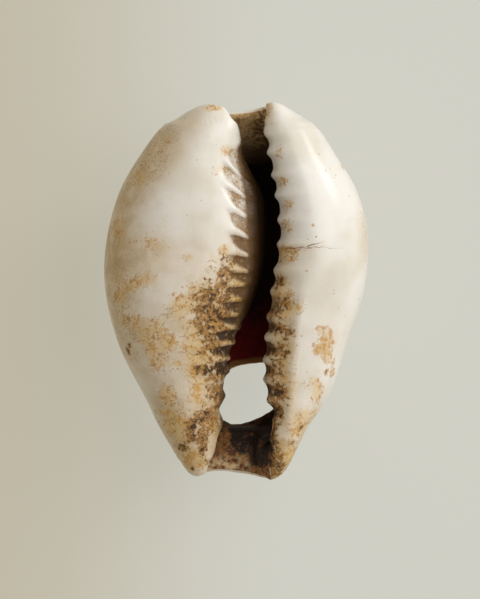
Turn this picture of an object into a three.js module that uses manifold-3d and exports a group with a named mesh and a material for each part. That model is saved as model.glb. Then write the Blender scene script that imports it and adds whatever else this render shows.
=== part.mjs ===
// A cowrie shell that lies on its back with the aperture up, its back pierced for threading.
//
// The shell is one piece: a single thick wall that starts at the rolled outer lip, runs down
// the right margin, across the back and up the left margin, crosses the base, folds into the
// aperture as the inner lip and winds on inside as the core of the earlier whorl.
// Units are millimetres. +Z points up out of the aperture, +Y to the posterior (spire) end,
// +X to the outer lip. The origin is under the middle of the shell, on the flat worn spot of
// the back that it rests on.
import * as THREE from "three";
import { ParametricGeometry } from "three/addons/geometries/ParametricGeometry.js";
import { mergeVertices } from "three/addons/utils/BufferGeometryUtils.js";
import Module from "manifold-3d";

// ---- Driving dimensions ----

// Stations along the shell, posterior end first, all for the middle of the wall.
//   y, left, right    place along the shell, and x of the two margins
//   base, side, back  heights of the base, of the margins and of the back
//   lip               x of the outer lip's edge
//   inner, lag        x of the inner lip's edge, and how far it lies on from the station in y
//   core              radius of the core
//   start, stop       section points at which the wall starts and stops
//   share             thickness as a share of the full wall
const STATIONS = [
  //     y    left   right    base   side   back     lip   inner    lag   core   start    stop   share
  [   12.0,   -2.3,    2.5,   10.2,   9.3,   8.1,    1.3,  -0.35,     0,  0.15,    3.3,   14.9,    0.6 ],
  [   11.5,   -3.2,    3.1,   10.5,   9.0,   6.9,    1.5,  -0.15,  -0.7,   0.5,      2,     17,   0.75 ],
  [   10.5,   -4.4,    4.5,   10.8,   8.6,   5.0,    1.6,   0.45,  -2.2,   1.0,    0.5,     20,   0.88 ],
  [    8.7,  -5.65,   5.65,   11.1,   8.1,   3.0,    1.9,   1.25, -2.35,   1.6,      0,   21.5,      1 ],
  [    6.4,   -7.0,   7.05,   11.4,  7.75,   1.6,    2.3,    1.5, -2.45,   2.2,      0,     22,      1 ],
  [    3.9,  -7.75,    7.7,   11.5,   7.6,  0.85,    2.5,   1.42, -1.95,   2.7,      0,     22,      1 ],
  [    1.3,  -8.02,    7.7,   11.5,   7.5,   0.6,   2.22,   1.03,  -1.0,   2.8,      0,     22,      1 ],
  [   -1.4,  -7.66,   7.08,  11.35,   7.5,  0.95,   1.82,    0.5,  -0.1,   2.5,      0,     22,      1 ],
  [   -4.1,  -6.75,   6.15,  11.05,   7.6,  1.85,   1.55,  -0.03,  0.85,   1.9,      0,     22,      1 ],
  [   -6.6,  -5.43,    5.2,  10.65,  7.75,   3.1,   1.65,   -0.7,   1.4,   1.3,      0,     21,      1 ],
  [   -8.8,  -4.35,    3.7,  10.25,  7.95,   4.6,   2.15,  -1.15,   1.6,   0.9,    0.5,     19,      1 ],
  [  -10.5,  -3.52,   2.85,    9.9,  8.15,   5.9,   1.75,   -1.3,   0.9,   0.6,    2.2,   16.5,   0.85 ],
  [  -11.4,  -3.15,   1.95,    9.7,   8.3,   6.7,    1.1,   -1.7,   0.3,   0.3,    3.6,   14.7,   0.75 ],
  [  -12.0,   -2.8,    1.3,    9.5,   8.5,   7.3,    0.7,   -1.8,     0,  0.15,    4.2,     14,    0.6 ],
];

// Depth of the notch in the rim at each canal, and how far in from the ends it dies out, as
// a share of the shell's length.
const CANAL_NOTCH = 0.5;
const NOTCH_REACH = 0.12;

// The teeth, by the place of each crest along the shell. The round gaps between them are cut
// into the wall. The inner lip's teeth are level with the outer lip's but for that lip's lag.
const TOOTH_CRESTS = [
  10.4, 9.2, 7.7, 6.3, 4.65, 3.0, 1.4, 0, -1.7, -3.1, -4.55, -5.8, -7.1, -8.4,
];
const GAP_DEPTH = { outerLip: 0.36, innerLip: 0.25 };
const ROWS_PER_TOOTH = 3;
const INNER_TEETH_REACH = [0.01, 0.03]; // where they start and end to fade, as shares of the wall

// The hole pierced through the back near the anterior end: its middle, half sizes, turn in
// radians and the height that its cutter reaches, which is inside the shell.
const HOLE = { x: 0.75, y: -6.75, halfX: 2.9, halfY: 1.85, turn: 0.4, top: 6.2 };
const HOLE_CORNERS = 28;

// Depth of the flat spot that the back is worn to, and a size well past the whole shell.
const WORN_DEPTH = 0.2;
const PAST_SHELL = 40;

// Steps of the wall's rounded edge, from its rim to its full thickness, and rows of faces
// between the last tooth and each end.
const EDGE_STEPS = 2;
const END_ROWS = 6;

// ---- The wall's middle surface ----

// Smooth interpolation of rows of numbers, one row at each knot.
function smoothRows(knots, rows) {
  return new THREE.CubicInterpolant(knots, rows.flat(), rows[0].length);
}

// Knots from 0 to 1, spaced as the given points are.
function knotsAlong(points) {
  const knots = [0];
  for (let i = 1; i < points.length; i++) {
    knots.push(knots[i - 1] + points[i].distanceTo(points[i - 1]));
  }
  return knots.map((k) => k / knots[knots.length - 1]);
}

const stationKnots = knotsAlong(
  STATIONS.map(([y, , right, , , back]) => new THREE.Vector3(right, y, back)),
);
const stations = smoothRows(stationKnots, STATIONS);

function stationAt(v) {
  const [y, left, right, base, side, back, lip, inner, lag, core, start, stop, share] =
    stations.evaluate(v);
  return { y, left, right, base, side, back, lip, inner, lag, core, start, stop, share };
}

// A point on an ellipse, by its angle in degrees anticlockwise from +X.
function onEllipse(x, z, halfX, halfZ, degrees) {
  const angle = THREE.MathUtils.degToRad(degrees);
  return [x + halfX * Math.cos(angle), z + halfZ * Math.sin(angle)];
}

// Section points at the crest of the base beside the outer lip, on either side of the part
// that every station has, and at the inner lip's teeth.
const LIP_CREST = 3;
const RIGHT_BASE = 5;
const LEFT_BASE = 13;
const INNER_LIP = 16;

// The wall's thickness to the outside at the edge of the outer lip and of the inner lip.
const LIP_EDGE = 0.75;
const INNER_EDGE = 0.45;

// The wall's outline in proportion to the station's sizes.
const ROLL_WIDTH = 0.3; // of the way from the outer lip's edge to the right margin
const CREST_PLACE = 0.3; // of the way from the core to the left margin
const CORE_HEIGHT = 1.15; // height of the core over its width
const CORE_DROP = 0.12; // how far the core's top lies under the base
const FULLNESS = 1.03; // the base and back are a little fuller than an ellipse

// The middle of the wall in one cross-section, from the outer lip round the back to the
// inner lip and the core. Each point holds x and z, the wall's thickness to the outside and
// to the inside, and its shares of the canals' notch and of the inner lip's lag.
function sectionPoints(s) {
  const lipX = s.lip + LIP_EDGE * s.share;
  const roll = ROLL_WIDTH * (s.right - lipX);
  const crestR = lipX + roll;
  const coreX = s.inner - INNER_EDGE * s.share - s.core;
  const crestL = THREE.MathUtils.lerp(coreX, s.left, CREST_PLACE);
  const coreHalfZ = CORE_HEIGHT * s.core;
  const coreZ = s.base - CORE_DROP - coreHalfZ;
  const arc = (x, toSide, toTop) => (degrees) =>
    onEllipse(x, s.side, FULLNESS * toSide, FULLNESS * toTop, degrees);
  const rightBase = arc(crestR, s.right - crestR, s.base - s.side);
  const rightBack = arc(0, s.right, s.side - s.back);
  const leftBack = arc(0, -s.left, s.side - s.back);
  const leftBase = arc(crestL, crestL - s.left, s.base - s.side);
  const core = (degrees, size) =>
    onEllipse(coreX, coreZ, s.core * size, coreHalfZ * size, degrees);
  return [
    [lipX, s.base - 0.68 * roll, LIP_EDGE, 0.45, 0, 0],
    [lipX + 0.28 * roll, s.base - 0.3 * roll, 0.82, 0.38, 0, 0],
    [lipX + 0.6 * roll, s.base - 0.07 * roll, 0.9, 0.34, 0, 0],
    [crestR, s.base, 0.95, 0.35, 0, 0],
    [...rightBase(58), 0.95, 0.42, 0, 0],
    [...rightBase(28), 0.9, 0.55, 0.05, 0],
    [s.right, s.side, 0.85, 0.6, 0.15, 0],
    [...rightBack(-28), 0.68, 0.55, 0.35, 0],
    [...rightBack(-58), 0.56, 0.5, 0.6, 0],
    [0, s.back, 0.52, 0.5, 0.8, 0],
    [...leftBack(-122), 0.56, 0.5, 1, 0],
    [...leftBack(-152), 0.68, 0.55, 1, 0],
    [s.left, s.side, 0.85, 0.6, 0.8, 0],
    [...leftBase(152), 0.9, 0.55, 0.6, 0.1],
    [...leftBase(122), 0.95, 0.5, 0.5, 0.35],
    [crestL, s.base, 0.92, 0.45, 0.45, 0.75],
    [...core(78, 1), 0.75, 0.4, 0.45, 1],
    [...core(40, 1), 0.55, 0.38, 0.45, 1],
    [...core(0, 1), INNER_EDGE, 0.36, 0.45, 1],
    [...core(-50, 0.98), 0.4, 0.34, 0.45, 1],
    [...core(-100, 0.94), 0.36, 0.32, 0.45, 1],
    [...core(-150, 0.88), 0.33, 0.3, 0.45, 1],
    [...core(-195, 0.8), 0.3, 0.3, 0.45, 1],
  ];
}

const MID_STATION = 0.45; // the place along the shell whose section sets the spacing
const sectionKnots = knotsAlong(
  sectionPoints(stationAt(MID_STATION)).map(([x, z]) => new THREE.Vector2(x, z)),
);
const LAST_POINT = sectionKnots.length - 1;

// The place round the section of a point given by its number, which may fall between two.
function knotAt(point) {
  const before = Math.min(Math.floor(point), sectionKnots.length - 2);
  return THREE.MathUtils.lerp(sectionKnots[before], sectionKnots[before + 1], point - before);
}

// The place round the section that u reaches where the wall starts late or stops early.
function reachedPlace(u, s) {
  const { lerp, inverseLerp } = THREE.MathUtils;
  const [right, left] = [sectionKnots[RIGHT_BASE], sectionKnots[LEFT_BASE]];
  if (u < right) return lerp(right, knotAt(Math.max(0, s.start)), inverseLerp(right, 0, u));
  if (u > left) return lerp(left, knotAt(Math.min(LAST_POINT, s.stop)), inverseLerp(left, 1, u));
  return u;
}

// The middle of the wall at (u, v), where u runs round the section and v along the shell,
// and its thickness to the outside and to the inside.
function middle(u, v) {
  const s = stationAt(v);
  const section = smoothRows(sectionKnots, sectionPoints(s));
  const [x, z, outer, inner, notch, lag] = section.evaluate(reachedPlace(u, s));
  const atEnd = (distance) => 1 - THREE.MathUtils.smoothstep(distance, 0, NOTCH_REACH);
  const drawnIn = CANAL_NOTCH * (atEnd(1 - v) - atEnd(v));
  return {
    centre: new THREE.Vector3(x, s.y + notch * drawnIn + lag * s.lag, z),
    outer: outer * s.share,
    inner: inner * s.share,
  };
}

// ---- Teeth ----

const FIRST_CREST = TOOTH_CRESTS[0];
const LAST_CREST = TOOTH_CRESTS[TOOTH_CRESTS.length - 1];

// 1 in the middle of a gap and 0 on the teeth, at a station's y.
function gapAt(y) {
  if (y >= FIRST_CREST || y <= LAST_CREST) return 0;
  const next = TOOTH_CRESTS.findIndex((crest) => crest <= y);
  const along = THREE.MathUtils.inverseLerp(TOOTH_CRESTS[next - 1], TOOTH_CRESTS[next], y);
  return Math.sqrt(Math.sin(Math.PI * along));
}

// How much of the wall is cut away at (u, v) to leave the teeth of both lips.
function toothCut(u, v) {
  const outerLip = 1 - THREE.MathUtils.smoothstep(u, 0, sectionKnots[LIP_CREST]);
  const beside = Math.abs(u - sectionKnots[INNER_LIP]);
  const innerLip = 1 - THREE.MathUtils.smoothstep(beside, ...INNER_TEETH_REACH);
  const depth = GAP_DEPTH.outerLip * outerLip + GAP_DEPTH.innerLip * innerLip;
  return depth * gapAt(stationAt(v).y);
}

// ---- The solid wall ----

// Grid places over [0, 1], each with how far it stands out into the rounded edge there.
function withRoundedEnds(inside) {
  const steps = Array.from({ length: EDGE_STEPS }, (_, i) =>
    Math.cos((Math.PI / 2) * (i / EDGE_STEPS)),
  );
  return [
    ...steps.map((out) => ({ at: 0, out })),
    ...inside.map((at) => ({ at, out: 0 })),
    ...steps.map((out) => ({ at: 1, out })).reverse(),
  ];
}

// Places round the section: each stretch between two section points is split this often.
const SPLITS = [1, 1, 1, 2, 1, 2, 2, 2, 2, 2, 2, 2, 2, 1, 2, 3, 2, 2, 1, 1, 1, 1];

function sectionPlaces() {
  const splitAt = (count, i) =>
    Array.from({ length: count }, (_, k) =>
      THREE.MathUtils.lerp(sectionKnots[i], sectionKnots[i + 1], k / count),
    );
  return [...SPLITS.flatMap(splitAt), 1];
}

// Places along the shell: on each crest and in the gaps, with more between them and the ends.
function lengthPlaces() {
  const { lerp } = THREE.MathUtils;
  const between = (from, to, count) =>
    Array.from({ length: count }, (_, i) => lerp(from, to, i / count));
  const rows = TOOTH_CRESTS.slice(1).flatMap((crest, i) =>
    between(TOOTH_CRESTS[i], crest, ROWS_PER_TOOTH),
  );
  const places = [...rows, LAST_CREST].map(placeOfY);
  return [
    ...between(0, places[0], END_ROWS),
    ...places,
    ...between(1, places[places.length - 1], END_ROWS).reverse(),
  ];
}

// The place along the shell whose station has the given y, by halving.
function placeOfY(y) {
  let low = 0;
  let high = 1;
  while (high - low > STEP / 10) {
    const mid = (low + high) / 2;
    if (stationAt(mid).y > y) low = mid;
    else high = mid;
  }
  return (low + high) / 2;
}

const STEP = 1e-3; // of the way across or along, small beside every feature
const across = withRoundedEnds(sectionPlaces());
const along = withRoundedEnds(lengthPlaces());

// One point of the wall's skin. side is 1 on the outside and -1 on the inside.
function wallPoint(place, row, side, target) {
  const [u, v] = [place.at, row.at];
  const { centre, outer, inner } = middle(u, v);
  const slope = (du, dv) => {
    const before = middle(Math.max(0, u - du), Math.max(0, v - dv)).centre;
    const after = middle(Math.min(1, u + du), Math.min(1, v + dv)).centre;
    return after.sub(before).normalize();
  };
  const alongU = slope(STEP, 0);
  const alongV = slope(0, STEP);
  const normal = new THREE.Vector3().crossVectors(alongV, alongU).normalize();
  const acrossV = new THREE.Vector3().crossVectors(normal, alongV);
  const acrossU = new THREE.Vector3().crossVectors(alongU, normal);
  const outU = place.out * Math.sqrt(1 - row.out ** 2 / 2);
  const outV = row.out * Math.sqrt(1 - place.out ** 2 / 2);
  const outN = Math.sqrt(Math.max(0, 1 - outU ** 2 - outV ** 2));
  const left = outer - toothCut(u, v);
  target
    .copy(centre)
    .addScaledVector(acrossV, (u < 0.5 ? -1 : 1) * outU * left)
    .addScaledVector(acrossU, (v < 0.5 ? -1 : 1) * outV * left)
    .addScaledVector(normal, outN * (side > 0 ? left : -inner));
}

// The closed skin: across the outside from the outer lip to the core, and back inside.
function wallGeometry() {
  const lastPlace = across.length - 1;
  const lastRow = along.length - 1;
  const skin = (s, t, target) => {
    const turn = Math.round((1 - s) * 2 * lastPlace);
    const row = Math.round(t * lastRow);
    const outside = turn <= lastPlace;
    const place = outside ? turn : 2 * lastPlace - turn;
    wallPoint(across[place], along[row], outside ? 1 : -1, target);
  };
  return splitByShorterDiagonal(new ParametricGeometry(skin, 2 * lastPlace, lastRow));
}

// The same geometry with each of its four-sided faces split along the shorter diagonal.
function splitByShorterDiagonal(geometry) {
  const positions = geometry.getAttribute("position");
  const corner = (i) => new THREE.Vector3().fromBufferAttribute(positions, i);
  const index = geometry.index.array;
  for (let i = 0; i < index.length; i += 6) {
    const [a, b, d, , c] = index.slice(i, i + 6);
    if (corner(a).distanceTo(corner(c)) < corner(b).distanceTo(corner(d))) {
      index.set([a, b, c, a, c, d], i);
    }
  }
  return geometry;
}

// ---- Cutters ----

// The pierced hole: an uneven oval, as a tool knocks it out.
function holeGeometry() {
  const outline = Array.from({ length: HOLE_CORNERS }, (_, i) => {
    const angle = (2 * Math.PI * i) / HOLE_CORNERS;
    const uneven = 1 + 0.04 * Math.sin(3 * angle + 1) + 0.03 * Math.sin(5 * angle);
    const [x, y] = [Math.cos(angle), Math.sin(angle)];
    return new THREE.Vector2(HOLE.halfX * uneven * x, HOLE.halfY * uneven * y);
  });
  const depth = PAST_SHELL / 2;
  return new THREE.ExtrudeGeometry(new THREE.Shape(outline), { depth, bevelEnabled: false })
    .rotateZ(HOLE.turn)
    .translate(HOLE.x, HOLE.y, HOLE.top - depth);
}

// Everything below the flat spot.
function belowGeometry(level) {
  const block = new THREE.BoxGeometry(PAST_SHELL, PAST_SHELL, PAST_SHELL);
  return block.translate(0, 0, level - PAST_SHELL / 2);
}

// ---- Solids ----

const MERGE_DISTANCE = 1e-4;
const wasm = await Module();
wasm.setup();

// The solid inside a closed geometry, without the faces that its poles squeeze to nothing.
function toSolid(geometry) {
  const bare = new THREE.BufferGeometry()
    .setAttribute("position", geometry.getAttribute("position"))
    .setIndex(geometry.index);
  const merged = mergeVertices(bare, MERGE_DISTANCE);
  const corners = merged.index.array;
  const triVerts = [];
  for (let i = 0; i < corners.length; i += 3) {
    const [a, b, c] = corners.slice(i, i + 3);
    if (a !== b && b !== c && c !== a) triVerts.push(a, b, c);
  }
  const vertProperties = merged.attributes.position.array;
  return new wasm.Manifold(
    new wasm.Mesh({ numProp: 3, vertProperties, triVerts: new Uint32Array(triVerts) }),
  );
}

function toGeometry(solid) {
  const mesh = solid.getMesh();
  return new THREE.BufferGeometry()
    .setAttribute("position", new THREE.BufferAttribute(mesh.vertProperties, mesh.numProp))
    .setIndex(new THREE.BufferAttribute(mesh.triVerts, 1));
}

// The shell's wall, worn flat where it rests and pierced, with its origin under its middle.
function shellGeometry() {
  const wall = toSolid(wallGeometry());
  const lowest = wall.boundingBox().min[2];
  const worn = wall
    .subtract(toSolid(belowGeometry(lowest + WORN_DEPTH)))
    .subtract(toSolid(holeGeometry()));
  const geometry = toGeometry(worn);
  geometry.computeBoundingBox();
  const { min, max } = geometry.boundingBox;
  geometry.translate(-(min.x + max.x) / 2, -(min.y + max.y) / 2, -min.z);
  geometry.computeVertexNormals();
  return geometry;
}

const shell = new THREE.Mesh(
  shellGeometry(),
  new THREE.MeshStandardMaterial({ color: 0xe9e0d0, roughness: 0.35, metalness: 0 }),
);
shell.name = "shell";

const cowrie = new THREE.Group();
cowrie.add(shell);

export default cowrie;
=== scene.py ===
"""A worn cowrie shell, pierced through the back, lying aperture up on a pale studio floor."""
import math
from functools import partialmethod

import bpy
import numpy as np
from bpy.props import FloatProperty, FloatVectorProperty, IntProperty, PointerProperty
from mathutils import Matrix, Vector, kdtree


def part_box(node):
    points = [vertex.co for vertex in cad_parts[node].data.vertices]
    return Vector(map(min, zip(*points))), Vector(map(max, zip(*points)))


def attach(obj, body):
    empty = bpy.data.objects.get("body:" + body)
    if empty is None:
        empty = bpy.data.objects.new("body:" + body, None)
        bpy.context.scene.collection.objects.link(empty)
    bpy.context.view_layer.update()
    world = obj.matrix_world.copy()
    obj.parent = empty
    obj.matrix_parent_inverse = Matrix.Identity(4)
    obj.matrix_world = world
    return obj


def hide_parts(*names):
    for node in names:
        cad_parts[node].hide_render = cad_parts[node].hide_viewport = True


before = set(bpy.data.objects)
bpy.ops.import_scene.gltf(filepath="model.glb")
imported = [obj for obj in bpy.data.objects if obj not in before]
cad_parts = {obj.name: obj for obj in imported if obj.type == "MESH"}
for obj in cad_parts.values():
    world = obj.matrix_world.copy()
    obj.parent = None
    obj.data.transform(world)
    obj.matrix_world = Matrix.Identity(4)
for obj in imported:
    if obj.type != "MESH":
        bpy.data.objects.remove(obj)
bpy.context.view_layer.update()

bl_info = {
    "name": "Cowrie shell",
    "version": (1, 0, 0),
    "blender": (4, 5, 0),
    "location": "View3D > Sidebar > Cowrie",
    "description": "Models a worn, pierced cowrie shell and the studio it lies in",
    "category": "Add Mesh",
}

NODE = "shell"
PIECE = "cowrie_shell"
MM = 0.001  # the shell is worked out in millimetres and stored in metres


def linear(red, green, blue):
    """A colour given as it looks on a screen, from 0 to 255, as a light amount."""
    return tuple(
        c / 3294.6 if c <= 10 else ((c / 255 + 0.055) / 1.055) ** 2.4 for c in (red, green, blue)
    )


# ---- Settings ----


def length(name, description, default):
    return FloatProperty(
        name=name, description=description, default=default, subtype="DISTANCE", unit="LENGTH",
        precision=5,
    )


SHARE = {"max": 1, "subtype": "FACTOR"}


def level(name, description, default, **limits):
    return FloatProperty(name=name, description=description, default=default, min=0, **limits)


def colour(name, description, default):
    return FloatVectorProperty(
        name=name, description=description, default=linear(*default), subtype="COLOR",
        min=0, max=1,
    )


class CowrieSizes(bpy.types.PropertyGroup):
    outer_gap: length("Outer lip gaps", "Depth between the outer lip's teeth", 0.00032)
    inner_gap: length("Inner lip gaps", "Depth between the inner lip's teeth", 0.00032)
    canal_notch: length("Canal notch", "Depth of the notch in the rim at each canal", 0.00045)
    worn_depth: length("Worn depth", "Depth of the flat spot that the back is worn to", 0.0002)
    hole_length: length("Hole length", "Longer half size of the pierced hole", 0.0029)
    hole_width: length("Hole width", "Shorter half size of the pierced hole", 0.00185)
    columns: IntProperty(
        name="Columns", description="Faces round the outside of the wall", default=150, min=40,
    )
    rows: IntProperty(name="Rows", description="Faces along the wall", default=236, min=60)


class CowrieFinish(bpy.types.PropertyGroup):
    enamel: colour("Enamel", "Clean enamel of the base", (247, 243, 236))
    film: colour("Film", "Tan film on the margins", (178, 140, 82))
    ochre: colour("Ochre", "Ochre patches of the stains", (206, 148, 52))
    caramel: colour("Caramel", "Lighter parts of the soil crust", (172, 124, 62))
    soil: colour("Soil", "Dark cores of the soil crust", (62, 40, 20))
    # Inside is a painted reddish glow of light through the wall, laid over painted dark shade.
    inside: colour("Inside", "Dim inner wall of the shell", (146, 22, 7))
    broken: colour("Broken edge", "Chalky wall laid bare round the hole", (214, 176, 120))
    dorsum: colour("Back", "Worn top layer of the back", (206, 196, 174))
    gloss: level("Enamel roughness", "Roughness of clean enamel", 0.26, **SHARE)
    depth_of_light: level("Subsurface", "How far light soaks into the enamel", 0.12, **SHARE)


class CowrieStudio(bpy.types.PropertyGroup):
    floor: colour("Floor", "Pale floor", (202, 202, 193))
    floor_glow: level("Floor glow", "Light that the floor gives by itself", 0.86)
    side_light: level("Side light", "Power of the soft lamp on the right", 0.84, unit="POWER")
    top_light: level("Top light", "Power of the soft lamp overhead", 1.6, unit="POWER")
    room_light: level("Room light", "Strength of the light from all round", 0.32)
    field: length("Field", "Height that the camera sees", 0.03967)


# ---- Shape of the wall, in millimetres ----

# Stations along the shell, posterior end first, all for the middle of the wall:
#   y, left, right    place along the shell, and x of the two margins
#   base, side, back  heights of the base, of the margins and of the back
#   lip               x of the outer lip's edge
#   inner, lag        x of the inner lip's edge, and how far it lies on from the station in y
#   core              radius of the core
#   start, stop       section points at which the wall starts and stops
#   share             thickness as a share of the full wall
STATION_NAMES = "y left right base side back lip inner lag core start stop share".split()
STATIONS = np.array([
    (12.0, -2.3, 2.5, 10.2, 9.3, 8.1, 1.3, 0.0, 0, 0.15, 3.8, 14.9, 0.6),
    (11.5, -3.2, 3.1, 10.5, 9.0, 6.9, 1.5, 0.1, -0.55, 0.5, 2, 17, 0.75),
    (10.5, -4.4, 4.5, 10.8, 8.6, 5.0, 1.6, 0.35, -2.2, 1.0, 0.5, 20, 0.88),
    (8.7, -5.65, 5.65, 11.1, 8.1, 3.0, 1.9, 1.25, -2.35, 1.6, 0, 21.5, 1),
    (6.4, -7.0, 7.05, 11.4, 7.75, 1.6, 2.3, 1.5, -2.45, 2.2, 0, 22, 1),
    (3.9, -7.75, 7.7, 11.5, 7.6, 0.85, 2.5, 1.42, -1.95, 2.7, 0, 22, 1),
    (1.3, -8.02, 7.7, 11.5, 7.5, 0.6, 2.22, 1.03, -1.0, 2.8, 0, 22, 1),
    (-1.4, -7.66, 7.08, 11.35, 7.5, 0.95, 1.82, 0.5, -0.1, 2.5, 0, 22, 1),
    (-4.1, -6.75, 6.15, 11.05, 7.6, 1.85, 1.55, -0.03, 0.85, 1.9, 0, 22, 1),
    (-6.6, -5.43, 5.2, 10.65, 7.75, 3.1, 1.65, -0.7, 1.4, 1.3, 0, 21, 1),
    (-8.8, -4.35, 3.7, 10.25, 7.95, 4.6, 2.15, -1.15, 1.6, 0.9, 0.5, 19, 1),
    (-10.5, -3.52, 2.85, 9.9, 8.15, 5.9, 1.7, -1.25, 0.9, 0.6, 2.8, 17.0, 0.85),
    (-11.4, -3.15, 2.35, 9.7, 8.3, 6.7, 1.0, -1.5, 0.3, 0.3, 4.2, 15.6, 0.75),
    (-12.0, -2.8, 1.9, 9.5, 8.5, 7.4, 0.5, -1.6, 0, 0.15, 5.2, 14.8, 0.6),
])
MID_STATION = 0.45  # the place along the shell whose section sets the spacing round it
ANTERIOR_NOTCH = 0.5  # the anterior notch as a share of the posterior one
NOTCH_REACH = 0.12  # how far in from the ends the notch dies out, as a share of the length

# Section points at the crest beside the outer lip, on either side of the part that every
# station has, and at the inner lip's teeth.
LIP_CREST, RIGHT_BASE, LEFT_BASE, INNER_LIP = 3, 5, 13, 16
LIP_EDGE, INNER_EDGE = 0.75, 0.45  # thickness to the outside at the edge of each lip
ROLL_WIDTH = 0.3  # of the way from the outer lip's edge to the right margin
CREST_PLACE = 0.3  # of the way from the core to the left margin
CORE_HEIGHT = 1.15  # height of the core over its width
CORE_DROP = 0.12  # how far the core's top lies under the base
FULLNESS = 1.03  # the base and back are a little fuller than an ellipse


def lerp(start, end, share):
    return start + (end - start) * share


def smooth_step(value, start, end):
    """0 before start, 1 after end and an eased curve between."""
    share = np.clip((value - start) / (end - start), 0, 1)
    return share * share * (3 - 2 * share)


def bend_matrix(knots):
    """What turns values at the knots into the bends of the smooth curve through them."""
    steps = np.diff(knots)
    count = len(knots)
    left, right = np.eye(count), np.zeros((count, count))
    for i in range(1, count - 1):
        before, after = steps[i - 1], steps[i]
        left[i, i - 1 : i + 2] = before, 2 * (before + after), after
        right[i, i - 1 : i + 2] = 6 / before, -6 / before - 6 / after, 6 / after
    return np.linalg.solve(left, right)


def read_curves(knots, values, places):
    """Smooth curves through values at the knots, each read at its own row of places."""
    bends = np.einsum("ij,rjk->rik", bend_matrix(knots), values)
    before = np.clip(np.searchsorted(knots, places) - 1, 0, len(knots) - 2)
    step = (knots[before + 1] - knots[before])[..., None]
    b = (places - knots[before])[..., None] / step
    a = 1 - b
    row = np.arange(len(values))[:, None]
    pull = (a**3 - a) * bends[row, before] + (b**3 - b) * bends[row, before + 1]
    return a * values[row, before] + b * values[row, before + 1] + pull * step**2 / 6


def knots_along(points):
    """Knots from 0 to 1, spaced as the points are."""
    steps = np.linalg.norm(np.diff(points, axis=0), axis=1)
    knots = np.concatenate([[0], np.cumsum(steps)])
    return knots / knots[-1]


def stations_at(places):
    """Each station value by name, at places from 0 to 1 along the shell."""
    knots = knots_along(STATIONS[:, [2, 0, 5]])
    values = read_curves(knots, STATIONS[None], np.atleast_2d(places))[0]
    return dict(zip(STATION_NAMES, values.T))


def canal_fill(y):
    """Extra thickness inside that makes the floor of both canals rise gently to the rim."""
    posterior = smooth_step(y, 8.4, 10.2) * (1 - smooth_step(y, 10.4, 12.2))
    anterior = (1 - smooth_step(y, -10.4, -9.0)) * smooth_step(y, -12.4, -11.4)
    return 1.9 * posterior + 1.2 * anterior


def core_bulge(y):
    """How far the core swells under the outer lip, in the posterior half."""
    return 0.42 * smooth_step(y, -3.5, 2.5) * (1 - smooth_step(y, 10.0, 11.6))


def lip_roll(y):
    """Extra thickness inside the outer lip at both ends, where it rolls in."""
    return 1.1 * smooth_step(-y, 9.4, 11.0) + 0.5 * smooth_step(y, 10.8, 11.8)


def section_points(s):
    """The middle of the wall in each cross-section, from the outer lip round the back to the
    inner lip and the core. Each point holds x and z, the wall's thickness to the outside and
    to the inside, and its shares of the canals' notch and of the inner lip's lag."""
    lip_x = s["lip"] + LIP_EDGE * s["share"]
    roll = ROLL_WIDTH * (s["right"] - lip_x)
    crest_right = lip_x + roll
    core_x = s["inner"] - INNER_EDGE * s["share"] - s["core"]
    crest_left = lerp(core_x, s["left"], CREST_PLACE)
    core_half = CORE_HEIGHT * s["core"]
    core_z = s["base"] - CORE_DROP - core_half

    def arc(x, to_side, to_top, degrees, z=s["side"], full=FULLNESS):
        angle = math.radians(degrees)
        return x + full * to_side * math.cos(angle), z + full * to_top * math.sin(angle)

    def right_base(degrees):
        return arc(crest_right, s["right"] - crest_right, s["base"] - s["side"], degrees)

    def right_back(degrees):
        return arc(0, s["right"], s["side"] - s["back"], degrees)

    def left_back(degrees):
        return arc(0, -s["left"], s["side"] - s["back"], degrees)

    def left_base(degrees):
        return arc(crest_left, crest_left - s["left"], s["base"] - s["side"], degrees)

    def core(degrees, size):
        swell = core_bulge(s["y"]) * max(0, math.cos(math.radians(degrees + 20)))
        return arc(core_x + swell, s["core"], core_half, degrees, core_z, size)

    fill, roll_in = canal_fill(s["y"]), lip_roll(s["y"])
    points = [
        (lip_x, s["base"] - 0.68 * roll, LIP_EDGE, 0.45, 0, 0),
        (lip_x + 0.28 * roll, s["base"] - 0.3 * roll, 0.82, 0.38, 0, 0),
        (lip_x + 0.6 * roll, s["base"] - 0.07 * roll, 0.9, 0.34, 0, 0),
        (crest_right, s["base"], 0.95, 0.35 + roll_in, 0, 0),
        (*right_base(58), 0.95, 0.42 + roll_in, 0, 0),
        (*right_base(28), 0.9, 0.55 + 0.25 * fill + roll_in, 0, 0),
        (s["right"], s["side"], 0.85, 0.6 + 0.4 * fill + roll_in, 0.03, 0),
        (*right_back(-28), 0.68, 0.55 + 0.6 * fill + 0.5 * roll_in, 0.12, 0),
        (*right_back(-58), 0.56, 0.5 + 0.8 * fill, 0.4, 0),
        (0, s["back"], 0.52, 0.5 + fill, 0.75, 0),
        (*left_back(-122), 0.56, 0.5 + 0.6 * fill, 1, 0),
        (*left_back(-152), 0.68, 0.55, 0.8, 0),
        (s["left"], s["side"], 0.85, 0.6, 0.45, 0),
        (*left_base(152), 0.9, 0.55, 0.33, 0.1),
        (*left_base(122), 0.95, 0.5, 0.28, 0.35),
        (crest_left, s["base"], 0.92, 0.45, 0.25, 0.75),
        (*core(78, 1), 0.75, 0.4, 0.25, 1),
        (*core(40, 1), 0.55, 0.38, 0.25, 1),
        (*core(0, 1), INNER_EDGE, 0.36, 0.25, 1),
        (*core(-50, 0.98), 0.4, 0.34, 0.25, 1),
        (*core(-100, 0.94), 0.36, 0.32, 0.25, 1),
        (*core(-150, 0.88), 0.33, 0.3, 0.25, 1),
        (*core(-195, 0.8), 0.3, 0.3, 0.25, 1),
    ]
    whole = np.zeros_like(s["y"])
    return np.stack([np.stack([value + whole for value in p], axis=-1) for p in points], axis=1)


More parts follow.
